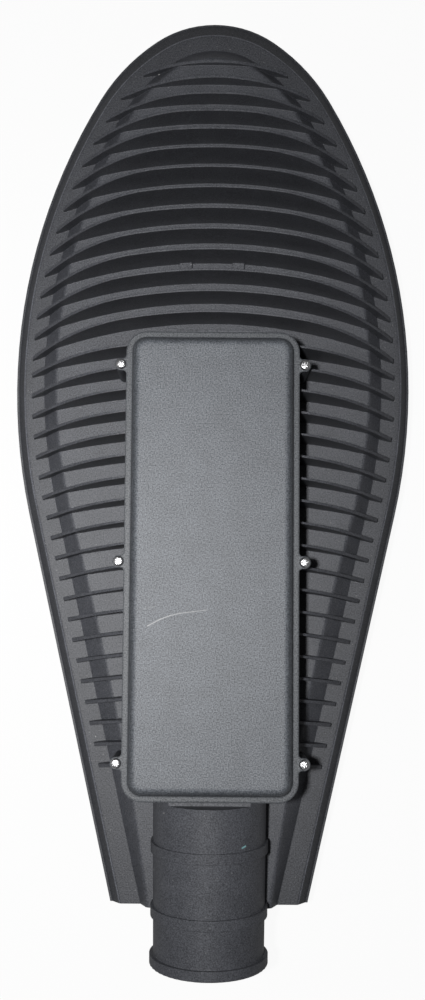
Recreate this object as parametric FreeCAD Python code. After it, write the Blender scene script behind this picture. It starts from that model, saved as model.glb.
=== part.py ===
import FreeCAD, Part
import math
import os
from FreeCAD import Vector

# Finned LED street light head: one die-cast housing with its driver box, pole sleeve, two lamp modules
# and everything that is screwed to it. Millimetres.
# The frame's origin is the centre of the sleeve's mouth, on the axis of its bore. +Y runs to the head's
# tip, +Z is the finned sky side and X is across.

# Levels of the casting, counted up from the rim's plane
mouth_rise = 26.0        # the rim's plane to the bore's axis at the mouth
ledge_rise = 10.0
slope_rise = 12.0        # the ledge to the plateau
fin_rise = 32.0          # the plateau to the fins' crest
box_rise = 38.0          # the plateau to the top of the driver box's wall
plate = 4.0
wall = 3.2
lip_height = 2.0
lip_width = 1.4

rim_z = -mouth_rise
ledge_z = rim_z + ledge_rise
plateau_z = ledge_z + slope_rise
plate_under_z = plateau_z - plate
crest_z = plateau_z + fin_rise
box_top_z = plateau_z + box_rise

# Plan of the rim: a tip arc, a shoulder arc and a side arc that run into straight flanks
tip_y = 591.5
tail_y = 31.0
half_width = 124.8
widest_y = 353.2
side_radius = 372.0
shoulder_radius = 123.3
shoulder_angle = 30.2
flank_angle = 12.85

# Lines of the casting inside the rim: inset at the sides, inset at the tip, and how much smaller than
# the side arc's own the line's radius is, so that it draws in towards the shoulders
ridge_inset, ridge_tip_inset, ridge_closer = 6.0, 11.1, 12.0
foot_inset, foot_tip_inset, foot_closer = 18.4, 21.0, 6.8
plateau_inset, plateau_tip_inset, plateau_closer = 26.7, 30.5, 4.0
plateau_flank_angle = 15.0
plateau_tail_half = 37.5
plateau_flank_pull = 0.62                # share of the flank's length that keeps its start's direction
ridge_rounding = 1.8
slope_rounding = 3.0

# Fins: arcs in plan with drafted sides, whose tops arch down to a low tip
head_fins = 14
side_fins = 20
first_fin_y = 557.2
head_pitch = 12.87
first_side_fin_y = 371.5
side_pitch = 13.25
head_fin_radius = 305.0
side_fin_radius = 460.0
fin_top = 1.3
fin_draft = 0.7
fin_inset, fin_tip_inset, fin_closer = 10.8, 18.0, 15.6
fin_tip_rise = 3.8       # a fin's tip stands this far above the ledge
fin_fall = 60.0          # run over which a fin's top falls to its tip
fin_tip_passes = 12      # steps that find where a fin's arc meets the line of tips
fin_sweep_spare = 4.0    # degrees of arc beyond a fin's tips before it is cut to length
front_inset = 15.5       # the crest's climb starts this far in from the head's tip
front_run = 110.0        # run over which the crest climbs

# Floor pads of the casting between two fins
pad_x, pad_off_x = 16.4, -1.0
pad_y = 425.4
pad_length, pad_width, pad_height = 7.6, 4.4, 2.6

# Driver box and its cover
box_low_y, box_high_y = 98.8, 374.8      # the cover's outer edges
cover_half_width = 51.5
cover_corner = 12.0
cover_overhang = 1.0
box_wall = 3.5
end_land_half, end_land_out = 27.6, 2.2
end_tab_width, end_tab_out = 6.2, 0.7
screw_x = 54.5
screw_rows_y = (121.0, 238.0, 355.0)
lug_radius = 3.7
lug_fillet = 2.0
column_radius = 3.6
column_web = 4.4
gasket_thickness = 1.2
gasket_width = 2.4
flange_thickness = 3.2
pan_inset = 3.8
pan_rise = 6.4
pan_rounding = 5.2
pan_wall = 2.4
seat_gap = 0.05
cut_over = 1.0           # cuts start this far outside the metal
hole_spare = 1.0         # a blind hole is this much deeper than its screw
hole_floor = 1.0         # metal left under a blind hole in the plate

# Cover screws
cover_screw_r = 1.7
cover_screw_head_r = 3.1
cover_screw_head = 2.3
cover_screw_length = 14.0
thread_gap = 0.1
screw_hole_gap = 0.35
screw_edge_share, screw_crown_share = 0.45, 0.62   # a head's straight edge and flat crown

# Pole sleeve
sleeve_tilt = 5.8
sleeve_length = 99.2
sleeve_mouth_r, sleeve_root_r = 33.2, 33.8
bore_r = 30.5
bore_length = 93.0
band_r = 35.0
band_width = 6.2
band_starts = (29.3, 67.6)               # from the mouth
collar_r = 35.5
collar_width = 6.5
collar_rounding = 1.2
bolt_places = (18.0, 52.0)               # pole bolts, from the mouth
bolt_boss_r, bolt_boss_out = 9.0, 7.0
bolt_r = 4.0
bolt_gap = 0.05
bolt_shank = 18.0
bolt_tip_gap = 0.6                       # the bolt's end stops this far short of the bore
hex_across, hex_height = 13.0, 5.3
nut_height = 4.0

# Cable passage from the sleeve to the driver box
passage_r = 7.0
grommet_bore_r = 4.0
grommet_flange_r, grommet_flange = 10.0, 2.2

# Lamp modules under the plate
module_names = ("rear", "front")
module_y = (315.0, 455.0)
seat_outer_r, seat_inner_r = 55.0, 49.0
seat_height = 13.0
lens_r = 52.0
lens_gasket_inner_r = 48.6
lens_gasket_thickness = 1.5
lens_edge = 3.5
lens_dome = 3.0
frame_outer_r, frame_inner_r = 62.0, 46.5
frame_lip = 3.0
frame_chamfer = 2.0
lens_gap = 0.3
frame_screws = 6
frame_screw_in = 4.6                     # the screws' circle inside the frame's edge
frame_boss_r = 4.6
frame_screw_r, frame_screw_head_r, frame_screw_head = 2.0, 3.9, 2.6
frame_screw_length = 16.0
board_side, board_thickness, board_corner = 46.0, 1.6, 2.0
board_screw_spacing = 37.0
board_screw_r, board_screw_head_r, board_screw_head = 1.4, 2.6, 1.8
board_screw_length = 4.4
emitter_r, emitter_thickness = 15.0, 0.9
reflector_neck_r = 17.5
reflector_mouth_r = 46.0
reflector_wall = 0.8
reflector_flange_r = 48.2
reflector_neck_gap = 0.3
reflector_bend_out, reflector_bend_down = 0.55, 0.4   # where the bowl bends, as shares of its way
duct_half_width, duct_height, duct_bore_r = 6.5, 11.0, 3.2
lead_hole_r = 4.0
lead_hole_out = 14.0                     # from the driver's end
lead_grommet_bore_r = 2.2
lead_grommet_flange_r, lead_grommet_flange = 6.0, 1.4

# Driver in its box
driver_y = 262.0
driver_length, driver_width, driver_height = 150.0, 66.0, 33.0
driver_corner = 3.0
driver_groove, driver_groove_depth, driver_grooves = 3.0, 1.2, 7
driver_groove_pitch = 8.0
end_plate, end_plate_in = 1.5, 1.0        # thickness, and how far inside the case's sides
ear_out, ear_width = 13.0, 14.0
ear_x = 20.0
ear_boss_r, ear_boss_rise = 4.5, 3.0
driver_screw_r, driver_screw_head_r, driver_screw_head = 1.9, 3.6, 2.4
driver_screw_length = 5.6
plate_screw_r, plate_screw_head_r, plate_screw_head = 1.3, 2.5, 1.6
plate_screw_x, plate_screw_z = 27.0, 12.0
plate_screw_length = 6.0

# Mains terminals, earth and cord clamp
block_x, block_y = -16.0, 143.0
block_width, block_length, block_height = 38.0, 20.0, 15.0
block_poles, block_pole_pitch = 3, 10.0
well_r, well_depth = 3.0, 7.0
pole_screw_r, pole_screw_height = 2.8, 3.0
pole_row = 5.4
block_screw_x = 15.0
block_screw_r, block_screw_head_r, block_screw_head = 1.3, 2.4, 1.5
block_step, block_step_spare = 7.0, 0.6
block_screw_length = 9.0
earth_x, earth_y = 27.0, 143.0
earth_boss_r, earth_boss_rise = 6.0, 6.0
earth_screw_r, earth_screw_head_r, earth_screw_head = 1.9, 3.9, 2.6
earth_screw_length = 8.0
earth_washer_r, earth_washer = 5.0, 1.0
clamp_y = 115.5
clamp_half, clamp_width, clamp_thickness = 17.0, 9.0, 2.5
clamp_boss_x, clamp_boss_r, clamp_boss_rise = 12.5, 3.8, 6.0
clamp_arch_r = 5.5
clamp_screw_r, clamp_screw_head_r, clamp_screw_head = 1.6, 3.1, 2.1
clamp_screw_length = 9.0

tilt = math.radians(sleeve_tilt)
into_body = Vector(0, math.cos(tilt), math.sin(tilt))
sleeve_up = Vector(0, -math.sin(tilt), math.cos(tilt))
UP = Vector(0, 0, 1)
DOWN = Vector(0, 0, -1)
ALONG = Vector(0, 1, 0)


def polar(radius, degrees, z=0.0):
    """Point at a radius and an angle from +X."""
    turn = math.radians(degrees)
    return Vector(radius * math.cos(turn), radius * math.sin(turn), z)


def arc(start, middle, end):
    """Arc edge through three points."""
    return Part.Arc(start, middle, end).toShape()


def mirrored(point):
    """The point's place on the other side of the middle plane."""
    return Vector(-point.x, point.y, point.z)


def arc_middle(centre, radius, low, high):
    """Middle point of an arc between two angles."""
    return centre + polar(radius, (low + high) / 2)


class Plan:
    """A closed line round the head: the rim's plan, drawn inset from it."""

    def __init__(self, inset, tip_inset, closer=0.0, turn=flank_angle, tail_half=None, tail=tail_y):
        self.turn = turn
        self.tail = tail
        self.tail_half = tail_half
        self.side_r = side_radius - inset - closer
        self.side_c = Vector(half_width - side_radius + closer, widest_y, 0)
        self.shoulder_r = shoulder_radius - inset - closer * (1 - math.cos(math.radians(shoulder_angle)))
        self.join = self.side_c + polar(self.side_r, shoulder_angle)
        self.shoulder_c = self.join - polar(self.shoulder_r, shoulder_angle)
        self.top = tip_y - tip_inset
        reach = self.top - self.shoulder_c.y
        span = self.shoulder_r ** 2 - self.shoulder_c.x ** 2 - reach ** 2
        self.tip_r = span / (2 * (self.shoulder_r - reach))
        self.tip_c = Vector(0, self.top - self.tip_r, 0)
        between = self.tip_c - self.shoulder_c
        self.meet_angle = math.degrees(math.atan2(between.y, between.x))
        self.meet = self.tip_c + polar(self.tip_r, self.meet_angle)
        self.flank = self.side_c + polar(self.side_r, -turn)

    def tail_point(self):
        """Where the flank reaches the tail."""
        if self.tail_half is not None:
            return Vector(self.tail_half, self.tail, 0)
        run = self.flank.y - self.tail
        return Vector(self.flank.x - run * math.tan(math.radians(self.turn)), self.tail, 0)

    def flank_edge(self, start, end):
        """Straight flank, or a soft curve where the tail's width is set by itself."""
        if self.tail_half is None:
            return Part.LineSegment(start, end).toShape()
        reach = start.distanceToPoint(end) * plateau_flank_pull
        side = 1 if start.x > 0 else -1
        turn = math.radians(self.turn)
        pull = Vector(-side * math.sin(turn), -math.cos(turn), 0) * reach
        curve = Part.BezierCurve()
        curve.setPoles([start, start + pull, end])
        return curve.toShape()

    def wire(self, z):
        """The line as a closed wire at a height."""
        shoulder_mid = arc_middle(self.shoulder_c, self.shoulder_r, shoulder_angle, self.meet_angle)
        side_mid = arc_middle(self.side_c, self.side_r, -self.turn, shoulder_angle)
        end = self.tail_point()
        right = [
            arc(self.meet, shoulder_mid, self.join),
            arc(self.join, side_mid, self.flank),
            self.flank_edge(self.flank, end),
        ]
        left = [
            self.flank_edge(mirrored(self.flank), mirrored(end)),
            arc(mirrored(self.flank), mirrored(side_mid), mirrored(self.join)),
            arc(mirrored(self.join), mirrored(shoulder_mid), mirrored(self.meet)),
        ]
        tip = arc(mirrored(self.meet), Vector(0, self.top, 0), self.meet)
        tail = Part.LineSegment(end, mirrored(end)).toShape()
        line = Part.Wire([tip] + right + [tail] + left)
        line.translate(Vector(0, 0, z))
        return line

    def half(self, y):
        """Half the width at a place along the head."""
        if y >= self.top:
            return 0.0
        if y > self.meet.y:
            return math.sqrt(self.tip_r ** 2 - (y - self.tip_c.y) ** 2)
        if y > self.join.y:
            return self.shoulder_c.x + math.sqrt(self.shoulder_r ** 2 - (y - self.shoulder_c.y) ** 2)
        if y > self.flank.y:
            return self.side_c.x + math.sqrt(self.side_r ** 2 - (y - self.side_c.y) ** 2)
        return self.flank.x - (self.flank.y - y) * math.tan(math.radians(self.turn))


def prism(wire, height):
    """Solid that stands on a closed flat wire."""
    return Part.Face(wire).extrude(Vector(0, 0, height))


def loft(low, high):
    """Ruled solid between two wires."""
    return Part.makeLoft([low, high], True, True)


def box(x_low, x_high, y_low, y_high, z_low, z_high):
    """Block between two corners."""
    return Part.makeBox(x_high - x_low, y_high - y_low, z_high - z_low, Vector(x_low, y_low, z_low))


def post(radius, x, y, z_low, z_high):
    """Upright round bar."""
    return Part.makeCylinder(radius, z_high - z_low, Vector(x, y, z_low))


def rounded_wire(x_half, y_low, y_high, radius, z):
    """Rectangle with round corners."""
    near = radius * (1 - math.sqrt(0.5))
    corners = (
        ((x_half, y_high - radius), (x_half - near, y_high - near), (x_half - radius, y_high)),
        ((-x_half + radius, y_high), (-x_half + near, y_high - near), (-x_half, y_high - radius)),
        ((-x_half, y_low + radius), (-x_half + near, y_low + near), (-x_half + radius, y_low)),
        ((x_half - radius, y_low), (x_half - near, y_low + near), (x_half, y_low + radius)),
    )
    edges = []
    for i, (start, middle, end) in enumerate(corners):
        edges.append(arc(Vector(*start, z), Vector(*middle, z), Vector(*end, z)))
        following = corners[(i + 1) % 4][0]
        edges.append(Part.LineSegment(Vector(*end, z), Vector(*following, z)).toShape())
    return Part.Wire(edges)


def revolved(points, centre, axis=UP):
    """Solid turned from a closed outline of (radius, height) points about an axis through a centre."""
    side = Vector(1, 0, 0)
    places = [centre + side * r + axis * h for r, h in points]
    face = Part.Face(Part.makePolygon(places + [places[0]]))
    return face.revolve(centre, axis, 360)


def screw(place, head_r, head, shank_r, length, axis=UP):
    """Pan head screw whose head rests at a place; its shank runs against the axis."""
    edge = head * screw_edge_share
    crown = head_r * screw_crown_share
    shank = [(0, -length), (shank_r, -length), (shank_r, 0)]
    points = shank + [(head_r, 0), (head_r, edge), (crown, head), (0, head)]
    return revolved(points, place, axis)


def edges_at(shape, z, margin=0.02):
    """Level edges at a height, apart from those of the tail's end face."""
    found = []
    for edge in shape.Edges:
        bounds = edge.BoundBox
        level = abs(bounds.ZMin - z) < margin and abs(bounds.ZMax - z) < margin
        if level and bounds.YMax > tail_y + margin:
            found.append(edge)
    return found


def on_sleeve(distance, up=0.0):
    """Point by the sleeve's axis, a distance in from the mouth and a height off the axis."""
    return into_body * distance + sleeve_up * up


# Outlines that the casting's levels follow
rim_plan = Plan(0.0, 0.0)
lip_plan = Plan(lip_width, lip_width)
ridge_plan = Plan(ridge_inset, ridge_tip_inset, ridge_closer)
foot_plan = Plan(foot_inset, foot_tip_inset, foot_closer)
plateau_plan = Plan(
    plateau_inset, plateau_tip_inset, plateau_closer, plateau_flank_angle, plateau_tail_half
)
fin_plan = Plan(fin_inset, fin_tip_inset, fin_closer)


def casting_outside():
    """Rim, skirt, ledge, slope and plateau as one solid block."""
    rim = prism(rim_plan.wire(rim_z), lip_height)
    skirt = loft(lip_plan.wire(rim_z + lip_height), ridge_plan.wire(ledge_z))
    lower = rim.fuse(skirt).removeSplitter()
    lower = lower.makeFillet(ridge_rounding, edges_at(lower, ledge_z))
    upper = loft(foot_plan.wire(ledge_z), plateau_plan.wire(plateau_z))
    upper = upper.makeFillet(slope_rounding, edges_at(upper, plateau_z))
    return lower.fuse(upper)


def across(run, rise):
    """Level width of the wall under a slope with this run and rise."""
    return wall * math.hypot(run, rise) / rise


def tray():
    """The hollow under the casting, a wall's thickness inside it."""
    skirt_rise = ledge_rise - lip_height
    side = across(ridge_inset - lip_width, skirt_rise)
    tip = across(ridge_tip_inset - lip_width, skirt_rise)
    share = (ledge_rise - wall - lip_height) / skirt_rise
    under_ledge = ledge_z - wall
    low = Plan(lip_width + side, lip_width + tip, tail=tail_y + wall)
    high = Plan(
        lip_width + share * (ridge_inset - lip_width) + side,
        lip_width + share * (ridge_tip_inset - lip_width) + tip,
        share * ridge_closer,
        tail=tail_y + wall,
    )
    slope_wall = across(plateau_inset - foot_inset, slope_rise)
    foot = Plan(foot_inset + slope_wall, foot_tip_inset + slope_wall, foot_closer, tail=tail_y + wall)
    top = Plan(
        plateau_inset + slope_wall,
        plateau_tip_inset + slope_wall,
        plateau_closer,
        plateau_flank_angle,
        plateau_tail_half - slope_wall,
        tail_y + wall,
    )
    lower = loft(low.wire(rim_z), high.wire(under_ledge))
    upper = loft(foot.wire(under_ledge), top.wire(plate_under_z))
    return lower.fuse(upper)


def box_outline(inset, z):
    """Driver box's plan, inset from the cover's edge."""
    return rounded_wire(
        cover_half_width - inset, box_low_y + inset, box_high_y - inset, cover_corner - inset, z
    )


def driver_box():
    """Outside of the driver box with its screw columns and the land at its upper end."""
    height = box_top_z - ledge_z
    pieces = [prism(box_outline(cover_overhang, ledge_z), height)]
    for y in screw_rows_y:
        for side in (-1, 1):
            pieces.append(post(column_radius, side * screw_x, y, ledge_z, box_top_z))
            inner = cover_half_width - box_wall
            low, high = sorted((side * inner, side * screw_x))
            pieces.append(box(low, high, y - column_web / 2, y + column_web / 2, ledge_z, box_top_z))
    low_y, high_y = box_high_y - box_wall, box_high_y + end_land_out
    tab_end = end_tab_width - end_land_half
    pieces.append(box(-end_land_half, end_land_half, low_y, high_y, plateau_z, box_top_z))
    pieces.append(box(-end_land_half, tab_end, low_y, high_y + end_tab_out, plateau_z, box_top_z))
    return pieces


def driver_cavity():
    """Room inside the driver box."""
    return prism(box_outline(cover_overhang + box_wall, plateau_z), box_rise + gasket_thickness)


def fin_crest(distance):
    """Height of a fin's top at the middle, a distance behind the start of the crest's climb."""
    tip_z = ledge_z + fin_tip_rise
    left = max(front_run - distance, 0.0) / front_run
    return tip_z + (crest_z - tip_z) * (1 - left ** 2)


def fin(middle_y, radius):
    """One fin: an arc in plan with drafted sides, cut to its arched top."""
    tip_x = half_width / 2
    for _ in range(fin_tip_passes):
        drop = radius - math.sqrt(radius ** 2 - tip_x ** 2)
        tip_x = fin_plan.half(middle_y - drop)
    crest = fin_crest(tip_y - front_inset - middle_y)
    tip_z = ledge_z + fin_tip_rise
    base_z = ledge_z - wall / 2
    fall = min(fin_fall, tip_x)
    flat = tip_x - fall
    half_top = fin_top / 2
    half_base = half_top + (crest_z - base_z) * math.tan(math.radians(fin_draft))
    centre = Vector(0, middle_y - radius, 0)
    sweep = 2 * math.degrees(math.asin(tip_x / radius)) + fin_sweep_spare
    start = 90 - sweep / 2
    section = [
        centre + polar(radius - half_base, start, base_z),
        centre + polar(radius + half_base, start, base_z),
        centre + polar(radius + half_top, start, crest_z),
        centre + polar(radius - half_top, start, crest_z),
    ]
    band = Part.Face(Part.makePolygon(section + [section[0]])).revolve(centre, UP, sweep)
    back_y = middle_y - drop - 2 * half_base - fin_top
    front_y = middle_y + 2 * half_base

    def at(x, z):
        return Vector(x, back_y, z)

    def falling(side):
        curve = Part.BezierCurve()
        curve.setPoles([at(side * flat, crest), at(side * (flat + fall / 2), crest), at(side * tip_x, tip_z)])
        return curve.toShape()

    edges = [falling(1), falling(-1)]
    far_x = tip_x + cut_over
    foot = [at(-far_x, tip_z), at(-far_x, base_z), at(far_x, base_z), at(far_x, tip_z)]
    edges.append(Part.makePolygon([at(-tip_x, tip_z)] + foot + [at(tip_x, tip_z)]))
    if flat > 0:
        edges.append(Part.LineSegment(at(-flat, crest), at(flat, crest)).toShape())
    sorted_edges = Part.__sortEdges__([e for piece in edges for e in piece.Edges])
    curtain = Part.Face(Part.Wire(sorted_edges)).extrude(Vector(0, front_y - back_y, 0))
    return band.common(curtain)


def fins():
    """All fins, those beside the driver box without their middle."""
    limit = prism(fin_plan.wire(ledge_z - wall / 2), crest_z - ledge_z + wall)
    inside = prism(box_outline(cover_overhang + box_wall / 2, ledge_z - wall), crest_z - ledge_z + 2 * wall)
    made = []
    for i in range(head_fins):
        made.append(fin(first_fin_y - i * head_pitch, head_fin_radius).common(limit))
    for i in range(side_fins):
        made.append(fin(first_side_fin_y - i * side_pitch, side_fin_radius).common(limit).cut(inside))
    return [solid for shape in made for solid in shape.Solids]


def collar():
    """Thicker ring round the mouth with a rounded end."""
    ring = Part.makeCylinder(collar_r, collar_width, on_sleeve(0), into_body)
    rims = [edge for edge in ring.Edges if edge.CenterOfMass.Length < collar_rounding]
    return ring.makeFillet(collar_rounding, rims)


def sleeve():
    """Outside of the pole sleeve: a tapered tube with two bands, an end collar and bolt bosses."""
    tube = Part.makeCone(sleeve_mouth_r, sleeve_root_r, sleeve_length, on_sleeve(0), into_body)
    root = Part.makeCylinder(sleeve_root_r, 3 * box_wall, on_sleeve(sleeve_length), into_body)
    above = box(-half_width, half_width, 0, box_high_y, box_top_z, box_top_z + sleeve_root_r)
    beyond = box(-half_width, half_width, box_low_y + cover_overhang + box_wall, box_high_y, rim_z, box_top_z)
    pieces = [tube, root.cut(above).cut(beyond)]
    for start in band_starts:
        pieces.append(Part.makeCylinder(band_r, band_width, on_sleeve(start), into_body))
    pieces.append(collar())
    for place in bolt_places:
        boss_foot = on_sleeve(place, -(sleeve_root_r + bolt_boss_out))
        pieces.append(Part.makeCylinder(bolt_boss_r, bolt_boss_out + sleeve_root_r / 2, boss_foot, sleeve_up))
    return pieces


def module_places():
    """Each lamp module's name and the centre of its seat on the plate's underside."""
    return [(name, Vector(0, y, plate_under_z)) for name, y in zip(module_names, module_y)]


def frame_screw_places(centre):
    """Axes of one lens frame's screws, at the plate's underside."""
    turn = 360 / frame_screws
    circle_r = frame_outer_r - frame_screw_in
    return [centre + polar(circle_r, turn * (i + 0.5)) for i in range(frame_screws)]


def lead_hole_y():
    """Place of the lamp leads' hole, past the driver's end and over the duct."""
    return driver_y + driver_length / 2 + lead_hole_out


def module_seats():
    """Cast seat rings with screw bosses, and the duct for the leads between them."""
    pieces = []
    for _, centre in module_places():
        low = centre.z - seat_height
        pieces.append(post(seat_outer_r, centre.x, centre.y, low, centre.z + plate / 2))
        for place in frame_screw_places(centre):
            pieces.append(post(frame_boss_r, place.x, place.y, low, centre.z + plate / 2))
    pieces.append(
        box(
            -duct_half_width,
            duct_half_width,
            module_y[0],
            module_y[1],
            plate_under_z - duct_height,
            plate_under_z + plate / 2,
        )
    )
    return pieces


def module_hollows():
    """Rooms inside the seats, the duct's bore, the lead hole and the frame screws' holes."""
    pieces = []
    for _, centre in module_places():
        low = centre.z - seat_height
        pieces.append(post(seat_inner_r, centre.x, centre.y, low, centre.z))
        for place in frame_screw_places(centre):
            top = low + frame_screw_length
            pieces.append(post(frame_screw_r + thread_gap, place.x, place.y, low, min(top, centre.z)))
        for place in board_screw_places(centre):
            top = centre.z + plate - hole_floor
            pieces.append(post(board_screw_r + thread_gap, place.x, place.y, centre.z, top))
    duct_z = plate_under_z - duct_height / 2
    span = module_y[1] - module_y[0]
    pieces.append(Part.makeCylinder(duct_bore_r, span, Vector(0, module_y[0], duct_z), ALONG))
    pieces.append(post(lead_hole_r, 0, lead_hole_y(), plate_under_z, plateau_z))
    return pieces


def ear_places():
    """Axes of the driver's four screws."""
    out = driver_length / 2 + ear_out / 2
    return [(sx * ear_x, driver_y + sy * out) for sx in (-1, 1) for sy in (-1, 1)]


def clamp_places():
    """Axes of the cord clamp's two screws."""
    return [(-clamp_boss_x, clamp_y), (clamp_boss_x, clamp_y)]


def block_places():
    """Axes of the terminal block's two screws."""
    return [(block_x - block_screw_x, block_y), (block_x + block_screw_x, block_y)]


def floor_bosses():
    """Bosses on the box's floor with their blind screw holes."""
    bosses = [(x, y, ear_boss_r, ear_boss_rise, driver_screw_r) for x, y in ear_places()]
    bosses += [(x, y, clamp_boss_r, clamp_boss_rise, clamp_screw_r) for x, y in clamp_places()]
    bosses.append((earth_x, earth_y, earth_boss_r, earth_boss_rise, earth_screw_r))
    solid = [post(r, x, y, plateau_z - plate / 2, plateau_z + rise) for x, y, r, rise, _ in bosses]
    holes = []
    for x, y, _, rise, screw_r in bosses:
        holes.append(post(screw_r + thread_gap, x, y, plate_under_z + hole_floor, plateau_z + rise))
    for x, y in block_places():
        holes.append(post(block_screw_r + thread_gap, x, y, plate_under_z + hole_floor, plateau_z))
    return solid, holes


def passage():
    """Hole for the mains cord between the sleeve's bore and the driver box."""
    start = Vector(0, on_sleeve(bore_length).y - cut_over, on_sleeve(sleeve_length).z)
    return Part.makeCylinder(passage_r, 4 * box_wall, start, ALONG)


def floor_pads():
    """Two small pads cast on the plateau between two fins."""
    low, high = plateau_z - plate / 2, plateau_z + pad_height
    pads = []
    for side in (-1, 1):
        x = pad_off_x + side * pad_x
        near, far = x - pad_length / 2, x + pad_length / 2
        pads.append(box(near, far, pad_y - pad_width / 2, pad_y + pad_width / 2, low, high))
    return pads


def sleeve_hollows():
    """The sleeve's bore, its two threaded holes and the cord's passage into the box."""
    hollows = [Part.makeCylinder(bore_r, bore_length, on_sleeve(0), into_body), passage()]
    for place in bolt_places:
        foot = on_sleeve(place, -(sleeve_root_r + bolt_boss_out + cut_over))
        depth = bolt_boss_out + sleeve_root_r / 2
        hollows.append(Part.makeCylinder(bolt_r + bolt_gap, depth, foot, sleeve_up))
    return hollows


def cover_screw_holes():
    """Blind holes in the box's screw columns."""
    low = box_top_z - (cover_screw_length - flange_thickness + hole_spare)
    radius = cover_screw_r + thread_gap
    return [post(radius, side * screw_x, y, low, box_top_z) for y in screw_rows_y for side in (-1, 1)]


def housing():
    """The whole casting as one solid."""
    bosses, boss_holes = floor_bosses()
    shell = casting_outside().multiFuse(driver_box() + fins())
    shell = shell.cut(tray()).multiFuse(sleeve() + module_seats())
    shell = shell.cut(driver_cavity()).multiFuse(bosses + floor_pads())
    for hollows in (sleeve_hollows(), module_hollows(), boss_holes, cover_screw_holes()):
        shell = shell.cut(Part.makeCompound(hollows))
    return shell


def cover_plan(z):
    """Faces of the cover's flange: the rounded rectangle and its six screw lugs."""
    height = flange_thickness
    pieces = []
    for y in screw_rows_y:
        for side in (-1, 1):
            pieces.append(post(lug_radius, side * screw_x, y, z, z + height))
            low, high = sorted((side * (cover_half_width - pan_inset), side * screw_x))
            pieces.append(box(low, high, y - lug_radius, y + lug_radius, z, z + height))
    plan = prism(box_outline(0, z), height).multiFuse(pieces).removeSplitter()
    return plan.makeFillet(lug_fillet, lug_corners(plan))


def lug_corners(plan):
    """Upright edges where a lug's side meets the flange's side."""
    found = []
    for edge in plan.Edges:
        middle = edge.CenterOfMass
        upright = edge.BoundBox.ZLength > flange_thickness / 2
        at_side = abs(abs(middle.x) - cover_half_width) < seat_gap
        near = min(abs(middle.y - y) for y in screw_rows_y)
        if upright and at_side and abs(near - lug_radius) < seat_gap:
            found.append(edge)
    return found


def driver_cover():
    """Cast cover: a flat flange with screw lugs round a raised, round-edged pan."""
    base = box_top_z + gasket_thickness
    top = base + flange_thickness + pan_rise
    flange = cover_plan(base)
    pan = prism(box_outline(pan_inset, base), top - base)
    pan = pan.makeFillet(pan_rounding, edges_at(pan, top))
    inner_top = top - pan_wall
    room = prism(box_outline(pan_inset + pan_wall, base), inner_top - base)
    room = room.makeFillet(pan_rounding - pan_wall, edges_at(room, inner_top))
    holes = []
    for y in screw_rows_y:
        for side in (-1, 1):
            holes.append(post(cover_screw_r + screw_hole_gap, side * screw_x, y, base, top))
    return flange.fuse(pan).removeSplitter().cut(Part.makeCompound([room] + holes))


def cover_gasket():
    """Flat silicone ring on the box's wall."""
    margin = cover_overhang + (box_wall - gasket_width) / 2
    outer = prism(box_outline(margin, box_top_z), gasket_thickness)
    inner = prism(box_outline(margin + gasket_width, box_top_z), gasket_thickness)
    return outer.cut(inner)


def cover_screws():
    """Six pan head screws of the cover."""
    seat = box_top_z + gasket_thickness + flange_thickness
    made = []
    for y in screw_rows_y:
        for side in (-1, 1):
            place = Vector(side * screw_x, y, seat)
            made.append(screw(place, cover_screw_head_r, cover_screw_head, cover_screw_r, cover_screw_length))
    return Part.makeCompound(made)


def pole_bolts():
    """Hexagon bolts that clamp the pole, backed off so that the bore is clear."""
    made = []
    for place in bolt_places:
        tip = on_sleeve(place, -(bore_r + bolt_tip_gap))
        shank = Part.makeCylinder(bolt_r, bolt_shank, tip, sleeve_up * -1)
        under = on_sleeve(place, -(bore_r + bolt_tip_gap + bolt_shank))
        made.append(shank.fuse(hexagon(under, sleeve_up * -1, hex_height)))
    return Part.makeCompound(made)


def hexagon(base, axis, height):
    """Hexagonal prism on a base point."""
    corner = hex_across / math.sqrt(3)
    side = Vector(1, 0, 0)
    other = axis.cross(side)
    corners = []
    for i in range(6):
        turn = math.radians(60 * i)
        corners.append(base + side * (corner * math.cos(turn)) + other * (corner * math.sin(turn)))
    return Part.Face(Part.makePolygon(corners + [corners[0]])).extrude(axis * height)


def pole_bolt_nuts():
    """Lock nuts on the pole bolts, against the sleeve's bosses."""
    made = []
    for place in bolt_places:
        seat = on_sleeve(place, -(sleeve_root_r + bolt_boss_out))
        nut = hexagon(seat, sleeve_up * -1, nut_height)
        hole = Part.makeCylinder(bolt_r + bolt_gap, nut_height, seat, sleeve_up * -1)
        made.append(nut.cut(hole))
    return Part.makeCompound(made)


def cord_grommet():
    """Rubber grommet of the mains cord in the wall between sleeve and box."""
    wall_in = box_low_y + cover_overhang + box_wall
    low = on_sleeve(bore_length).y + grommet_flange
    z = on_sleeve(sleeve_length).z
    points = [
        (grommet_bore_r, low - wall_in),
        (passage_r - seat_gap, low - wall_in),
        (passage_r - seat_gap, 0),
        (grommet_flange_r, 0),
        (grommet_flange_r, grommet_flange),
        (grommet_bore_r, grommet_flange),
    ]
    return revolved(points, Vector(0, wall_in, z), ALONG)


def lead_grommet():
    """Grommet of the lamp leads in the box's floor."""
    y = lead_hole_y()
    points = [
        (lead_grommet_bore_r, -plate),
        (lead_hole_r - seat_gap, -plate),
        (lead_hole_r - seat_gap, 0),
        (lead_grommet_flange_r, 0),
        (lead_grommet_flange_r, lead_grommet_flange),
        (lead_grommet_bore_r, lead_grommet_flange),
    ]
    return revolved(points, Vector(0, y, plateau_z))


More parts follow.
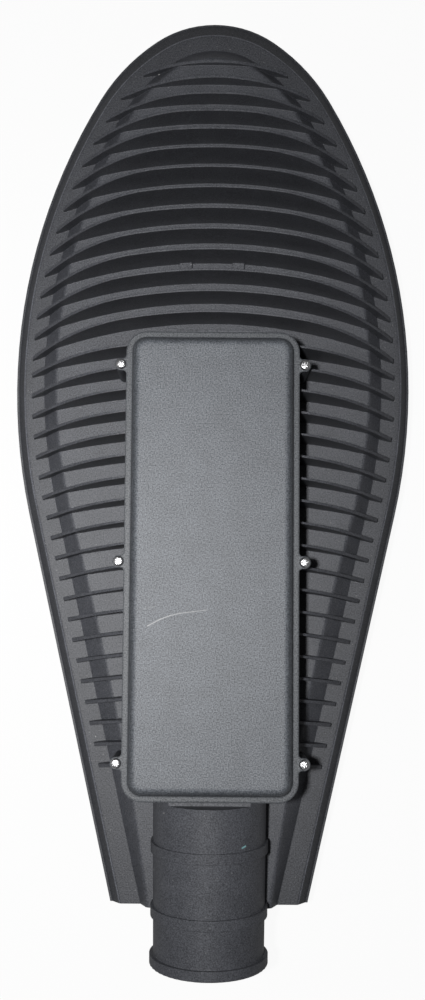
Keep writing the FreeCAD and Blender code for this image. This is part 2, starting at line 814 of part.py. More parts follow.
def driver_case():
    """Extruded driver case with lengthwise grooves in its top."""
    low_y = driver_y - driver_length / 2
    half = driver_width / 2
    body = box(-half, half, low_y, low_y + driver_length, plateau_z, plateau_z + driver_height)
    upright = []
    for edge in body.Edges:
        bounds = edge.BoundBox
        if bounds.YLength > driver_length / 2 and bounds.ZMin > plateau_z + driver_height / 2:
            upright.append(edge)
    body = body.makeFillet(driver_corner, upright)
    grooves = []
    for i in range(driver_grooves):
        x = (i - (driver_grooves - 1) / 2) * driver_groove_pitch
        top = plateau_z + driver_height
        grooves.append(
            box(
                x - driver_groove / 2,
                x + driver_groove / 2,
                low_y,
                low_y + driver_length,
                top - driver_groove_depth,
                top,
            )
        )
    holes = []
    for side, end in ((1, low_y), (-1, low_y + driver_length)):
        for x in (-plate_screw_x, plate_screw_x):
            z = plateau_z + plate_screw_z
            start = Vector(x, end, z)
            holes.append(
                Part.makeCylinder(plate_screw_r + thread_gap, plate_screw_length, start, ALONG * side)
            )
    return body.cut(Part.makeCompound(grooves + holes))


def driver_end_plate(side):
    """Sheet end plate of the driver with two ears that are screwed to the box's floor."""
    end = driver_y + side * driver_length / 2
    half = driver_width / 2 - end_plate_in
    outer = end + side * end_plate
    low, high = sorted((end, outer))
    top = plateau_z + driver_height - driver_groove_depth
    pieces = [box(-half, half, low, high, plateau_z + ear_boss_rise, top)]
    ear_low, ear_high = sorted((end, end + side * ear_out))
    seat = plateau_z + ear_boss_rise
    for x in (-ear_x, ear_x):
        pieces.append(box(x - ear_width / 2, x + ear_width / 2, ear_low, ear_high, seat, seat + end_plate))
    shape = pieces[0].multiFuse(pieces[1:]).removeSplitter()
    holes = []
    for x, y in ear_places():
        holes.append(post(driver_screw_r + screw_hole_gap, x, y, seat, seat + end_plate))
    for x in (-plate_screw_x, plate_screw_x):
        start = Vector(x, low, plateau_z + plate_screw_z)
        holes.append(Part.makeCylinder(plate_screw_r + screw_hole_gap, end_plate, start, ALONG))
    return shape.cut(Part.makeCompound(holes))


def driver_screws():
    """Four screws that hold the driver to the box's floor."""
    seat = plateau_z + ear_boss_rise + end_plate
    made = []
    for x, y in ear_places():
        place = Vector(x, y, seat)
        made.append(screw(place, driver_screw_head_r, driver_screw_head, driver_screw_r, driver_screw_length))
    return Part.makeCompound(made)


def driver_plate_screws():
    """Four screws that hold the end plates to the driver's case."""
    made = []
    for side in (-1, 1):
        y = driver_y + side * (driver_length / 2 + end_plate)
        for x in (-plate_screw_x, plate_screw_x):
            place = Vector(x, y, plateau_z + plate_screw_z)
            sizes = (plate_screw_head_r, plate_screw_head, plate_screw_r, plate_screw_length)
            made.append(screw(place, *sizes, ALONG * side))
    return Part.makeCompound(made)


def pole_places():
    """Axes of the terminal block's wire screws."""
    first = -(block_poles - 1) / 2 * block_pole_pitch
    places = []
    for i in range(block_poles):
        for row in (-pole_row, pole_row):
            places.append((block_x + first + i * block_pole_pitch, block_y + row))
    return places


def terminal_block():
    """Moulded block with screw wells and a stepped foot at each end."""
    top = plateau_z + block_height
    half = block_width / 2
    low_y, high_y = block_y - block_length / 2, block_y + block_length / 2
    body = box(block_x - half, block_x + half, low_y, high_y, plateau_z, top)
    cuts = []
    step = half - block_screw_x + block_screw_head_r + block_step_spare
    for side in (-1, 1):
        low, high = sorted((block_x + side * half, block_x + side * (half - step)))
        cuts.append(box(low, high, low_y, high_y, plateau_z + block_step, top))
    for x, y in pole_places():
        cuts.append(post(well_r, x, y, top - well_depth, top))
    for x, y in block_places():
        cuts.append(post(block_screw_r + screw_hole_gap, x, y, plateau_z, plateau_z + block_step))
    return body.cut(Part.makeCompound(cuts))


def terminal_screws():
    """Wire screws at the bottom of the block's wells."""
    bottom = plateau_z + block_height - well_depth
    made = [post(pole_screw_r, x, y, bottom, bottom + pole_screw_height) for x, y in pole_places()]
    return Part.makeCompound(made)


def terminal_block_screws():
    """Two screws that hold the terminal block."""
    made = []
    for x, y in block_places():
        place = Vector(x, y, plateau_z + block_step)
        made.append(screw(place, block_screw_head_r, block_screw_head, block_screw_r, block_screw_length))
    return Part.makeCompound(made)


def earth_washer_ring():
    """Washer under the earth screw."""
    seat = plateau_z + earth_boss_rise
    ring = post(earth_washer_r, earth_x, earth_y, seat, seat + earth_washer)
    return ring.cut(post(earth_screw_r + screw_hole_gap, earth_x, earth_y, seat, seat + earth_washer))


def earth_screw():
    """Screw of the protective earth."""
    place = Vector(earth_x, earth_y, plateau_z + earth_boss_rise + earth_washer)
    return screw(place, earth_screw_head_r, earth_screw_head, earth_screw_r, earth_screw_length)


def cord_clamp():
    """Strap that holds the mains cord, arched over its middle."""
    seat = plateau_z + clamp_boss_rise
    low_y, high_y = clamp_y - clamp_width / 2, clamp_y + clamp_width / 2
    strap = box(-clamp_half, clamp_half, low_y, high_y, seat, seat + clamp_thickness)
    outer = Part.makeCylinder(clamp_arch_r + clamp_thickness, clamp_width, Vector(0, low_y, seat), ALONG)
    inner = Part.makeCylinder(clamp_arch_r, clamp_width, Vector(0, low_y, seat), ALONG)
    below = box(-clamp_half, clamp_half, low_y, high_y, seat - clamp_half, seat)
    holes = []
    for x, y in clamp_places():
        holes.append(post(clamp_screw_r + screw_hole_gap, x, y, seat, seat + clamp_thickness))
    return strap.fuse(outer).removeSplitter().cut(Part.makeCompound([inner, below] + holes))


def cord_clamp_screws():
    """Two screws of the cord clamp."""
    seat = plateau_z + clamp_boss_rise + clamp_thickness
    made = []
    for x, y in clamp_places():
        place = Vector(x, y, seat)
        made.append(screw(place, clamp_screw_head_r, clamp_screw_head, clamp_screw_r, clamp_screw_length))
    return Part.makeCompound(made)


def board_screw_places(centre):
    """Axes of one board's two screws, on a diagonal."""
    out = board_screw_spacing / 2
    return [centre + Vector(-out, -out, 0), centre + Vector(out, out, 0)]


def cob_board(centre):
    """Light source's square metal board."""
    half = board_side / 2
    low = centre.z - board_thickness
    line = rounded_wire(half, centre.y - half, centre.y + half, board_corner, low)
    holes = []
    for place in board_screw_places(centre):
        holes.append(post(board_screw_r + screw_hole_gap, place.x, place.y, low, centre.z))
    return prism(line, board_thickness).cut(Part.makeCompound(holes))


def cob_emitter(centre):
    """Round light-emitting face on the board."""
    top = centre.z - board_thickness
    return post(emitter_r, centre.x, centre.y, top - emitter_thickness, top)


def cob_screws(centre):
    """Two screws of the board."""
    made = []
    for place in board_screw_places(centre):
        seat = place - Vector(0, 0, board_thickness)
        sizes = (board_screw_head_r, board_screw_head, board_screw_r, board_screw_length)
        made.append(screw(seat, *sizes, DOWN))
    return Part.makeCompound(made)


def lens_top(centre):
    """Height of the lens's upper face."""
    return centre.z - seat_height - lens_gasket_thickness


def reflector(centre):
    """Spun bowl from the light source to the lens, with a flat flange on the lens."""
    top = centre.z - board_thickness - emitter_thickness - reflector_neck_gap
    low = lens_top(centre)
    neck, mouth, skin = reflector_neck_r, reflector_mouth_r, reflector_wall
    middle_r = neck + (mouth - neck) * reflector_bend_out
    middle_z = top + (low - top) * reflector_bend_down
    points = [
        (neck, top),
        (middle_r, middle_z),
        (mouth, low),
        (reflector_flange_r, low),
        (reflector_flange_r, low + skin),
        (mouth + skin / 2, low + skin),
        (middle_r + skin, middle_z + skin / 2),
        (neck + skin, top),
    ]
    return revolved([(r, h - centre.z) for r, h in points], centre)


def lens_gasket(centre):
    """Silicone ring between seat and lens."""
    high = centre.z - seat_height
    ring = post(lens_r, centre.x, centre.y, high - lens_gasket_thickness, high)
    return ring.cut(post(lens_gasket_inner_r, centre.x, centre.y, high - lens_gasket_thickness, high))


def lens_glass(centre):
    """Clear glass, flat on top and slightly domed below."""
    top = lens_top(centre)
    edge = top - lens_edge
    low = edge - lens_dome
    dome_half = frame_inner_r - lens_gap
    ball_r = (dome_half ** 2 + lens_dome ** 2) / (2 * lens_dome)
    ball = Part.makeSphere(ball_r, Vector(centre.x, centre.y, low + ball_r))
    dome = ball.common(post(dome_half, centre.x, centre.y, low, edge))
    return post(lens_r, centre.x, centre.y, edge, top).fuse(dome)


def lens_frame(centre):
    """Cast ring that presses the lens to its seat."""
    seat = centre.z - seat_height
    lens_low = lens_top(centre) - lens_edge
    low = lens_low - frame_lip
    points = [
        (frame_inner_r, low),
        (frame_outer_r - frame_chamfer, low),
        (frame_outer_r, low + frame_chamfer),
        (frame_outer_r, seat),
        (lens_r + lens_gap, seat),
        (lens_r + lens_gap, lens_low),
        (frame_inner_r, lens_low),
    ]
    ring = revolved([(r, h - centre.z) for r, h in points], centre)
    holes = []
    for place in frame_screw_places(centre):
        holes.append(post(frame_screw_r + screw_hole_gap, place.x, place.y, low, seat))
        holes.append(post(frame_screw_head_r + screw_hole_gap, place.x, place.y, low, low + frame_screw_head))
    return ring.cut(Part.makeCompound(holes))


def lens_screws(centre):
    """Screws of one lens frame, sunk into it."""
    low = lens_top(centre) - lens_edge - frame_lip
    made = []
    for place in frame_screw_places(centre):
        seat = Vector(place.x, place.y, low + frame_screw_head)
        made.append(
            screw(seat, frame_screw_head_r, frame_screw_head, frame_screw_r, frame_screw_length, DOWN)
        )
    return Part.makeCompound(made)


def parts():
    """Every node's name and shape."""
    made = {
        "housing": housing(),
        "driver_cover": driver_cover(),
        "cover_gasket": cover_gasket(),
        "cover_screws": cover_screws(),
        "pole_bolts": pole_bolts(),
        "pole_bolt_nuts": pole_bolt_nuts(),
        "cord_grommet": cord_grommet(),
        "lead_grommet": lead_grommet(),
        "driver_case": driver_case(),
        "driver_end_plate_rear": driver_end_plate(-1),
        "driver_end_plate_front": driver_end_plate(1),
        "driver_screws": driver_screws(),
        "driver_plate_screws": driver_plate_screws(),
        "terminal_block": terminal_block(),
        "terminal_screws": terminal_screws(),
        "terminal_block_screws": terminal_block_screws(),
        "earth_washer": earth_washer_ring(),
        "earth_screw": earth_screw(),
        "cord_clamp": cord_clamp(),
        "cord_clamp_screws": cord_clamp_screws(),
    }
    for name, centre in module_places():
        made[f"{name}_cob_board"] = cob_board(centre)
        made[f"{name}_cob_emitter"] = cob_emitter(centre)
        made[f"{name}_cob_screws"] = cob_screws(centre)
        made[f"{name}_reflector"] = reflector(centre)
        made[f"{name}_lens_gasket"] = lens_gasket(centre)
        made[f"{name}_lens_glass"] = lens_glass(centre)
        made[f"{name}_lens_frame"] = lens_frame(centre)
        made[f"{name}_lens_screws"] = lens_screws(centre)
    return made


os.makedirs("parts", exist_ok=True)
for node, shape in parts().items():
    shape.exportStep(f"parts/{node}.step")
    state = "valid" if shape.isValid() else "not valid"
    print(node, len(shape.Solids), "solids", round(shape.Volume), "mm3", state)
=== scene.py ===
"""Looks of a finned LED street light head: a powder-coated casting with a driver box and a pole sleeve."""

import logging
import math
from dataclasses import dataclass, field
from enum import Enum

import bmesh
import bpy
from mathutils import Matrix, Vector

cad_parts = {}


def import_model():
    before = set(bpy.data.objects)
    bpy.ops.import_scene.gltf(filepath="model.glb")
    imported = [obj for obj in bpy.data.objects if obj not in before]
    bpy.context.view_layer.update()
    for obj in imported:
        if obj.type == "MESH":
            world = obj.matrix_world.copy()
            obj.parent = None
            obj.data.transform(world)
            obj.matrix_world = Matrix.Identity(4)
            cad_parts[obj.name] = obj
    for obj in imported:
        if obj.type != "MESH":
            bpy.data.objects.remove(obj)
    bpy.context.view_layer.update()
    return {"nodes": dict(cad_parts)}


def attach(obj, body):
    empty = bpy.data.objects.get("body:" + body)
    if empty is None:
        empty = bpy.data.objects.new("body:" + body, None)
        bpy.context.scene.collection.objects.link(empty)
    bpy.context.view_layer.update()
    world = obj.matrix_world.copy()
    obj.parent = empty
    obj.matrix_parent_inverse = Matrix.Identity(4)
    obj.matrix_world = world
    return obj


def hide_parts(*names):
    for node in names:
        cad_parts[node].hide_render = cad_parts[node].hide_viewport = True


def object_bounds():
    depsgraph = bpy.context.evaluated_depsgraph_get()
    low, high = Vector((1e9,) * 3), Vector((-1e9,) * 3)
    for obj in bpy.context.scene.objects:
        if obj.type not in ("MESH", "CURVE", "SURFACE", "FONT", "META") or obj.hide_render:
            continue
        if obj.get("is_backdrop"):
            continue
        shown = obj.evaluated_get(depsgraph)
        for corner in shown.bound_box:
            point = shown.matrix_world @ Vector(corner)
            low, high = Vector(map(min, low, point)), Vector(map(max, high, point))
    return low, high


log = logging.getLogger("street_light")

Colour = tuple[float, float, float]
Point = tuple[float, float, float]
BODY = "root"
MERGE = 2e-6
NOISE_LOW, NOISE_HIGH = 0.3, 0.7
WHITE = (1.0, 1.0, 1.0)
BARE = (0.5, 0.5, 0.5)


class Slot(Enum):
    """Material slots of the record."""

    POWDER_COAT = "powder_coat"
    BRIGHT_STEEL = "bright_steel"
    SILICONE = "silicone"
    CASE_METAL = "case_metal"
    WHITE_PLASTIC = "white_plastic"
    BLACK_PLASTIC = "black_plastic"
    BRASS = "brass"
    BOARD_METAL = "board_metal"
    PHOSPHOR = "phosphor"
    MIRROR_BOWL = "mirror_bowl"
    CLEAR_GLASS = "clear_glass"


class Nodes:
    """Node tree of a world or a material, with short ways to add and join nodes."""

    def __init__(self, tree: bpy.types.NodeTree) -> None:
        """Empties the tree.

        Args:
            tree: the node tree.
        """
        self.tree = tree
        tree.nodes.clear()

    def add(self, kind: str, **settings: object) -> bpy.types.Node:
        """Adds a node.

        Args:
            kind: the node's type name without its ShaderNode prefix.
            settings: attributes of the node.

        Returns:
            The new node.
        """
        node = self.tree.nodes.new("ShaderNode" + kind)
        for key, value in settings.items():
            setattr(node, key, value)
        return node

    def join(self, source: bpy.types.NodeSocket, target: bpy.types.NodeSocket) -> None:
        """Links one socket to another."""
        self.tree.links.new(source, target)

    def spread(
        self, value: bpy.types.NodeSocket, low: float, high: float, to: tuple[float, float]
    ) -> bpy.types.NodeSocket:
        """Maps a value from one range onto another.

        Args:
            value: the value.
            low: lower end of its range.
            high: upper end of its range.
            to: the new range.

        Returns:
            The mapped value.
        """
        node = self.add("MapRange")
        self.join(value, node.inputs["Value"])
        node.inputs["From Min"].default_value = low
        node.inputs["From Max"].default_value = high
        node.inputs["To Min"].default_value = to[0]
        node.inputs["To Max"].default_value = to[1]
        return node.outputs["Result"]

    def math(self, operation: str, *values: object) -> bpy.types.NodeSocket:
        """Adds a math node.

        Args:
            operation: what it does.
            values: its inputs, sockets or numbers.

        Returns:
            Its value.
        """
        node = self.add("Math", operation=operation)
        for value, target in zip(values, node.inputs):
            if isinstance(value, float):
                target.default_value = value
            else:
                self.join(value, target)
        return node.outputs["Value"]

    def blend(
        self, share: object, first: bpy.types.NodeSocket, second: bpy.types.NodeSocket
    ) -> bpy.types.NodeSocket:
        """Mixes two shaders.

        Args:
            share: share of the second one, a socket or a number.
            first: a shader's output.
            second: another shader's output.

        Returns:
            The mixed shader.
        """
        node = self.add("MixShader")
        if isinstance(share, float):
            node.inputs[0].default_value = share
        else:
            self.join(share, node.inputs[0])
        self.join(first, node.inputs[1])
        self.join(second, node.inputs[2])
        return node.outputs[0]

    def seen(self, *kinds: str) -> bpy.types.NodeSocket:
        """Adds nodes that tell whether a ray is of one of these kinds.

        Args:
            kinds: outputs of the Light Path node.

        Returns:
            1 for such rays and 0 for others.
        """
        path = self.add("LightPath")
        result = path.outputs[kinds[0]]
        for kind in kinds[1:]:
            result = self.math("MAXIMUM", result, path.outputs[kind])
        return result


class Graph(Nodes):
    """Node tree of one material, with patterns in the object's own space."""

    def __init__(self, name: str) -> None:
        """Starts an empty material.

        Args:
            name: the material's name.
        """
        self.material = bpy.data.materials.new(name)
        self.material.use_nodes = True
        super().__init__(self.material.node_tree)
        self.output = self.add("OutputMaterial")
        self.coordinates = self.add("TexCoord").outputs["Object"]

    def noise(self, size: float, detail: float = 2.0) -> bpy.types.NodeSocket:
        """Adds a noise pattern.

        Args:
            size: size of its spots in metres.
            detail: how much finer noise lies on it.

        Returns:
            The noise's factor.
        """
        node = self.add("TexNoise")
        node.inputs["Scale"].default_value = 1 / size
        node.inputs["Detail"].default_value = detail
        self.join(self.coordinates, node.inputs["Vector"])
        return node.outputs["Fac"]

    def stray(self, pattern: bpy.types.NodeSocket, middle: float, share: float) -> bpy.types.NodeSocket:
        """Lets a value stray about its middle with a noise pattern.

        Args:
            pattern: the noise's factor.
            middle: the value's middle.
            share: how far it strays either way, as a share of the middle.

        Returns:
            The value.
        """
        return self.spread(pattern, NOISE_LOW, NOISE_HIGH, (middle * (1 - share), middle * (1 + share)))

    def shaded(self, colour: Colour, factor: bpy.types.NodeSocket) -> bpy.types.NodeSocket:
        """Multiplies a colour by a factor near 1.

        Args:
            colour: the colour.
            factor: what it is multiplied by.

        Returns:
            The product.
        """
        node = self.add("VectorMath", operation="SCALE")
        node.inputs[0].default_value = colour
        self.join(factor, node.inputs["Scale"])
        return node.outputs["Vector"]

    def mixed(
        self, factor: bpy.types.NodeSocket, first: bpy.types.NodeSocket, second: Colour
    ) -> bpy.types.NodeSocket:
        """Mixes a plain colour into another one.

        Args:
            factor: share of the plain colour.
            first: the colour under it.
            second: the plain colour.

        Returns:
            The mixed colour.
        """
        node = self.add("Mix", data_type="RGBA")
        self.join(factor, node.inputs[0])
        self.join(first, node.inputs[6])
        node.inputs[7].default_value = (*second, 1.0)
        return node.outputs[2]


@dataclass(frozen=True)
class Mark:
    """A scratch or chip: a thin capsule between two points, at full strength in the core of its radius."""

    start: Point
    end: Point
    radius: float
    strength: float
    colour: Colour = BARE
    core: float = 0.5

    def mask(self, graph: Graph) -> bpy.types.NodeSocket:
        """Adds the nodes that measure the distance to the mark.

        Args:
            graph: the material's graph.

        Returns:
            The mark's strength at each point.
        """
        run = Vector(self.end) - Vector(self.start)
        away = graph.add("VectorMath", operation="SUBTRACT")
        graph.join(graph.coordinates, away.inputs[0])
        away.inputs[1].default_value = self.start
        along = graph.add("VectorMath", operation="DOT_PRODUCT")
        graph.join(away.outputs["Vector"], along.inputs[0])
        along.inputs[1].default_value = run / run.length_squared
        share = graph.add("Clamp")
        graph.join(along.outputs["Value"], share.inputs["Value"])
        foot = graph.add("VectorMath", operation="SCALE")
        foot.inputs[0].default_value = run
        graph.join(share.outputs["Result"], foot.inputs["Scale"])
        gap = graph.add("VectorMath", operation="DISTANCE")
        graph.join(away.outputs["Vector"], gap.inputs[0])
        graph.join(foot.outputs["Vector"], gap.inputs[1])
        return graph.spread(gap.outputs["Value"], self.radius * self.core, self.radius, (self.strength, 0.0))


@dataclass(frozen=True)
class Finish:
    """A solid finish whose colour, roughness and relief stray a little at its own scale."""

    slot: Slot
    colour: Colour
    roughness: float
    grain: float
    metallic: float = 0.0
    mottle: float = 0.08
    relief: float = 0.00002
    soft_edge: float = 0.0003
    gloss: float = 0.5
    rough_stray: float = 0.1
    edge_samples: int = 6

    def relieved(self, graph: Graph, pattern: bpy.types.NodeSocket) -> bpy.types.NodeSocket:
        """Adds rounded edges and the surface's relief.

        Args:
            graph: the material's graph.
            pattern: height pattern of the relief.

        Returns:
            The normal.
        """
        edge = graph.add("Bevel", samples=self.edge_samples)
        edge.inputs["Radius"].default_value = self.soft_edge
        bump = graph.add("Bump")
        bump.inputs["Distance"].default_value = self.relief
        graph.join(pattern, bump.inputs["Height"])
        graph.join(edge.outputs["Normal"], bump.inputs["Normal"])
        return bump.outputs["Normal"]

    def shader(self, graph: Graph) -> bpy.types.Node:
        """Adds the surface shader with this finish's constant values."""
        shader = graph.add("BsdfPrincipled")
        shader.inputs["Metallic"].default_value = self.metallic
        shader.inputs["Specular IOR Level"].default_value = self.gloss
        graph.join(shader.outputs["BSDF"], graph.output.inputs["Surface"])
        return shader

    def material(self, name: str | None = None) -> bpy.types.Material:
        """Builds the material.

        Args:
            name: the material's name, or None for the slot's name.

        Returns:
            The material.
        """
        graph = Graph(name or self.slot.value)
        shader = self.shader(graph)
        pattern = graph.noise(self.grain)
        factor = graph.stray(pattern, 1.0, self.mottle)
        graph.join(graph.shaded(self.colour, factor), shader.inputs["Base Color"])
        graph.join(graph.stray(pattern, self.roughness, self.rough_stray), shader.inputs["Roughness"])
        graph.join(self.relieved(graph, pattern), shader.inputs["Normal"])
        return graph.material


@dataclass(frozen=True)
class PaintedRidgeHighlight:
    """A painted highlight: a pale line just under a tier's edge, where its rounded ridge would catch the light, with
    painted shade on the flank below it.
    """

    tone: float
    flank: float
    drop: float = 0.0007
    half_width: float = 0.0004
    fade: float = 0.0006

    def add_painted_highlight(
        self, graph: Graph, tone: bpy.types.NodeSocket, height: bpy.types.NodeSocket, tier: "PaintedShadeTier"
    ) -> bpy.types.NodeSocket:
        """Adds the painted highlight line and its painted shade flank to a tier's tone.

        Args:
            graph: the material's graph.
            tone: the tier's tone.
            height: height of each point.
            tier: the tier.

        Returns:
            The new tone.
        """
        middle = tier.height - self.drop
        foot = middle - self.half_width
        # painted shade on the flank, then the painted highlight line above it
        flank = graph.spread(height, foot - self.fade, foot, (self.flank, 1.0))
        line = graph.math("COMPARE", height, middle, self.half_width)
        lift = graph.math("MULTIPLY", line, self.tone - tier.tone)
        return graph.math("ADD", graph.math("MULTIPLY", tone, flank), lift)


@dataclass(frozen=True)
class PaintedShadeTier:
    """A lower level of a casting, where painted shade makes the coat darker, apart from a clear area beside the
    sleeve.

    The clear area is given by its half width and by how far it reaches along the head.
    """

    height: float
    tone: float
    step: float
    line: PaintedRidgeHighlight | None = None
    clear: tuple[float, float] | None = None

    def factor(self, graph: Graph) -> bpy.types.NodeSocket:
        """Adds the nodes that give the coat's painted shade at each height.

        Args:
            graph: the material's graph.

        Returns:
            The factor of the colour.
        """
        place = graph.add("SeparateXYZ")
        graph.join(graph.coordinates, place.inputs[0])
        height = place.outputs["Z"]
        # painted shade: the coat darkens below the tier's height
        tone = graph.spread(height, self.height, self.height + self.step, (self.tone, 1.0))
        if self.line:
            tone = self.line.add_painted_highlight(graph, tone, height, self)
        if not self.clear:
            return tone
        half, end = self.clear
        beside = graph.math("GREATER_THAN", graph.math("ABSOLUTE", place.outputs["X"]), half)
        beyond = graph.math("GREATER_THAN", place.outputs["Y"], end)
        away = graph.math("MAXIMUM", beside, beyond)
        change = graph.math("MULTIPLY", graph.math("SUBTRACT", tone, 1.0), away)
        return graph.math("ADD", change, 1.0)


@dataclass(frozen=True)
class PowderCoat(Finish):
    """Dark textured powder coat: fine orange-peel grain, faint clouds, pale specks and wear marks."""

    rough_stray: float = 0.08
    detail: float = 3.0
    cloud: float = 0.012
    cloud_stray: float = 0.07
    speck_size: float = 1.3
    speck_range: tuple[float, float] = (0.8, 0.86)
    speck_share: float = 0.25
    marks: tuple[Mark, ...] = ()
    tier: PaintedShadeTier | None = None

    def material(self, name: str | None = None) -> bpy.types.Material:
        """Builds the material with its wear marks.

        Args:
            name: the material's name, or None for the slot's name.

        Returns:
            The material.
        """
        graph = Graph(name or self.slot.value)
        shader = self.shader(graph)
        pattern = graph.noise(self.grain, self.detail)
        fine = graph.stray(pattern, 1.0, self.mottle)
        broad = graph.stray(graph.noise(self.cloud, 1.0), 1.0, self.cloud_stray)
        tone = graph.math("MULTIPLY", fine, broad)
        # painted shade on lower levels, with a painted highlight line under the ridge
        if self.tier:
            tone = graph.math("MULTIPLY", tone, self.tier.factor(graph))
        specks = graph.noise(self.grain * self.speck_size, 0.0)
        share = graph.spread(specks, *self.speck_range, (0.0, self.speck_share))
        colour = graph.mixed(share, graph.shaded(self.colour, tone), BARE)
        for mark in self.marks:
            colour = graph.mixed(mark.mask(graph), colour, mark.colour)
        graph.join(colour, shader.inputs["Base Color"])
        graph.join(graph.stray(pattern, self.roughness, self.rough_stray), shader.inputs["Roughness"])
        graph.join(graph.stray(pattern, self.gloss, self.mottle), shader.inputs["Specular IOR Level"])
        graph.join(self.relieved(graph, pattern), shader.inputs["Normal"])
        return graph.material


@dataclass(frozen=True)
class ClearGlass(Finish):
    """Clear tempered glass with a faint green body."""

    index: float = 1.5

    def material(self, name: str | None = None) -> bpy.types.Material:
        """Builds the material.

        Args:
            name: the material's name, or None for the slot's name.

        Returns:
            The material.
        """
        graph = Graph(name or self.slot.value)
        shader = self.shader(graph)
        shader.inputs["Transmission Weight"].default_value = 1.0
        shader.inputs["IOR"].default_value = self.index
        pattern = graph.noise(self.grain)
        factor = graph.spread(pattern, NOISE_LOW, NOISE_HIGH, (1 - self.mottle, 1.0))
        graph.join(graph.shaded(self.colour, factor), shader.inputs["Base Color"])
        rough = graph.spread(pattern, NOISE_LOW, NOISE_HIGH, (self.roughness, self.roughness * 2))
        graph.join(rough, shader.inputs["Roughness"])
        return graph.material


def chip(x: float, y: float, low: float, high: float, radius: float, strength: float) -> Mark:
    """Makes a chip of the coat, where the surface cuts a short upright mark.

    Args:
        x: its place across the head.
        y: its place along the head.
        low: the mark's lower end.
        high: the mark's upper end.
        radius: the chip's radius.
        strength: how bare it is.

    Returns:
        The chip.
    """
    return Mark((x, y, low), (x, y, high), radius, strength)


COATING = (0.076, 0.079, 0.090)
# painted highlight: the cover's copy of the powder coat is lighter than the casting's
LIT_COVER_COATING = (0.112, 0.122, 0.138)
GRAIN = 0.0008
PEEL = 0.0001
COVER_TOP = 0.0448

SCRATCH_RADIUS, SCRATCH_STRENGTH, SCRATCH_FADE = 0.0004, 0.62, 0.07
SCRATCH_PATH = (
    (-0.0369, 0.2003, COVER_TOP),
    (-0.0296, 0.2042, COVER_TOP),
    (-0.0238, 0.2064, COVER_TOP),
    (-0.0180, 0.2078, COVER_TOP),
    (-0.0103, 0.2088, COVER_TOP),
    (-0.0026, 0.2098, COVER_TOP),
)
SCRATCHES = (
    *(
        Mark(start, end, SCRATCH_RADIUS, SCRATCH_STRENGTH - SCRATCH_FADE * i)
        for i, (start, end) in enumerate(zip(SCRATCH_PATH, SCRATCH_PATH[1:]))
    ),
    Mark((-0.0392, 0.2103, COVER_TOP), (-0.0328, 0.2116, COVER_TOP), 0.00035, 0.14),
    Mark((0.0292, 0.2194, COVER_TOP), (0.0294, 0.2195, COVER_TOP), 0.0005, 0.3),
)
CHIPS = (
    chip(-0.0362, 0.5537, -0.0162, -0.0142, 0.0007, 0.9),
    chip(0.0196, 0.4559, 0.0100, 0.0180, 0.0006, 0.8),
    chip(-0.1058, 0.3361, -0.0180, -0.0140, 0.0006, 0.5),
    chip(-0.0708, 0.1320, -0.0160, -0.0060, 0.0005, 0.5),
    chip(-0.0266, 0.0917, 0.0240, 0.0340, 0.0006, 0.35),
    chip(-0.0329, 0.0564, 0.0100, 0.0200, 0.0006, 0.4),
    Mark((0.0189, 0.0729, 0.0349), (0.0207, 0.0738, 0.0337), 0.0008, 0.8, (0.3, 0.6, 0.62)),
)
# painted shade on the casting's ledge and skirt, with a painted highlight line under the ridge
RIM_PAINTED_SHADE = PaintedShadeTier(-0.0159, 0.8, 0.0006, PaintedRidgeHighlight(2.0, 0.8), (0.037, 0.2))
# painted shade on the cover's ring below its top panel
PAN_PAINTED_SHADE = PaintedShadeTier(0.0438, 0.58, 0.0009)


@dataclass
class Finishes:
    """Every finish of the lamp head, built once."""

    coat: PowderCoat = PowderCoat(
        Slot.POWDER_COAT,
        COATING,
        0.5,
        GRAIN,
        mottle=0.42,
        relief=PEEL,
        soft_edge=0.0007,
        gloss=0.36,
        marks=CHIPS,
        tier=RIM_PAINTED_SHADE,
    )
    # painted highlight: a lighter copy of the casting's powder coat for the cover
    lit_cover_coat: PowderCoat = PowderCoat(
        Slot.POWDER_COAT,
        LIT_COVER_COATING,
        0.52,
        GRAIN,
        mottle=0.55,
        relief=PEEL,
        soft_edge=0.0016,
        gloss=0.6,
        marks=SCRATCHES,
        tier=PAN_PAINTED_SHADE,
    )
    solids: tuple[Finish, ...] = (
        Finish(Slot.BRIGHT_STEEL, (0.62, 0.62, 0.63), 0.3, 0.0012, metallic=1.0),
        Finish(Slot.SILICONE, (0.3, 0.3, 0.3), 0.6, 0.002),
        Finish(Slot.CASE_METAL, (0.66, 0.66, 0.68), 0.34, 0.0015, metallic=1.0),
        Finish(Slot.WHITE_PLASTIC, (0.8, 0.8, 0.77), 0.45, 0.001, mottle=0.03),
        Finish(Slot.BLACK_PLASTIC, (0.022, 0.022, 0.023), 0.5, 0.0012),
        Finish(Slot.BRASS, (0.78, 0.58, 0.28), 0.28, 0.0012, metallic=1.0),
        Finish(Slot.BOARD_METAL, (0.8, 0.8, 0.79), 0.4, 0.002, mottle=0.03),
        Finish(Slot.PHOSPHOR, (0.86, 0.68, 0.1), 0.35, 0.0008, mottle=0.05),
        Finish(Slot.MIRROR_BOWL, (0.88, 0.88, 0.89), 0.08, 0.004, metallic=1.0, mottle=0.02),
        ClearGlass(Slot.CLEAR_GLASS, (0.93, 0.98, 0.96), 0.01, 0.01, mottle=0.02),
    )
    built: dict[Slot, bpy.types.Material] = field(default_factory=dict)

    def build(self) -> None:
        """Makes one material for each slot."""
        for finish in (self.coat, *self.solids):
            self.built[finish.slot] = finish.material()


def dress(mesh: bpy.types.Mesh, material: bpy.types.Material) -> None:
    """Puts one material on a mesh."""
    mesh.materials.clear()
    mesh.materials.append(material)


def stand_for(piece: bpy.types.Object, node: str) -> None:
    """Lets a new piece ride on the body in place of a node.

    Args:
        piece: the new piece.
        node: name of the node that it replaces.
    """
    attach(piece, BODY)
    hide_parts(node)


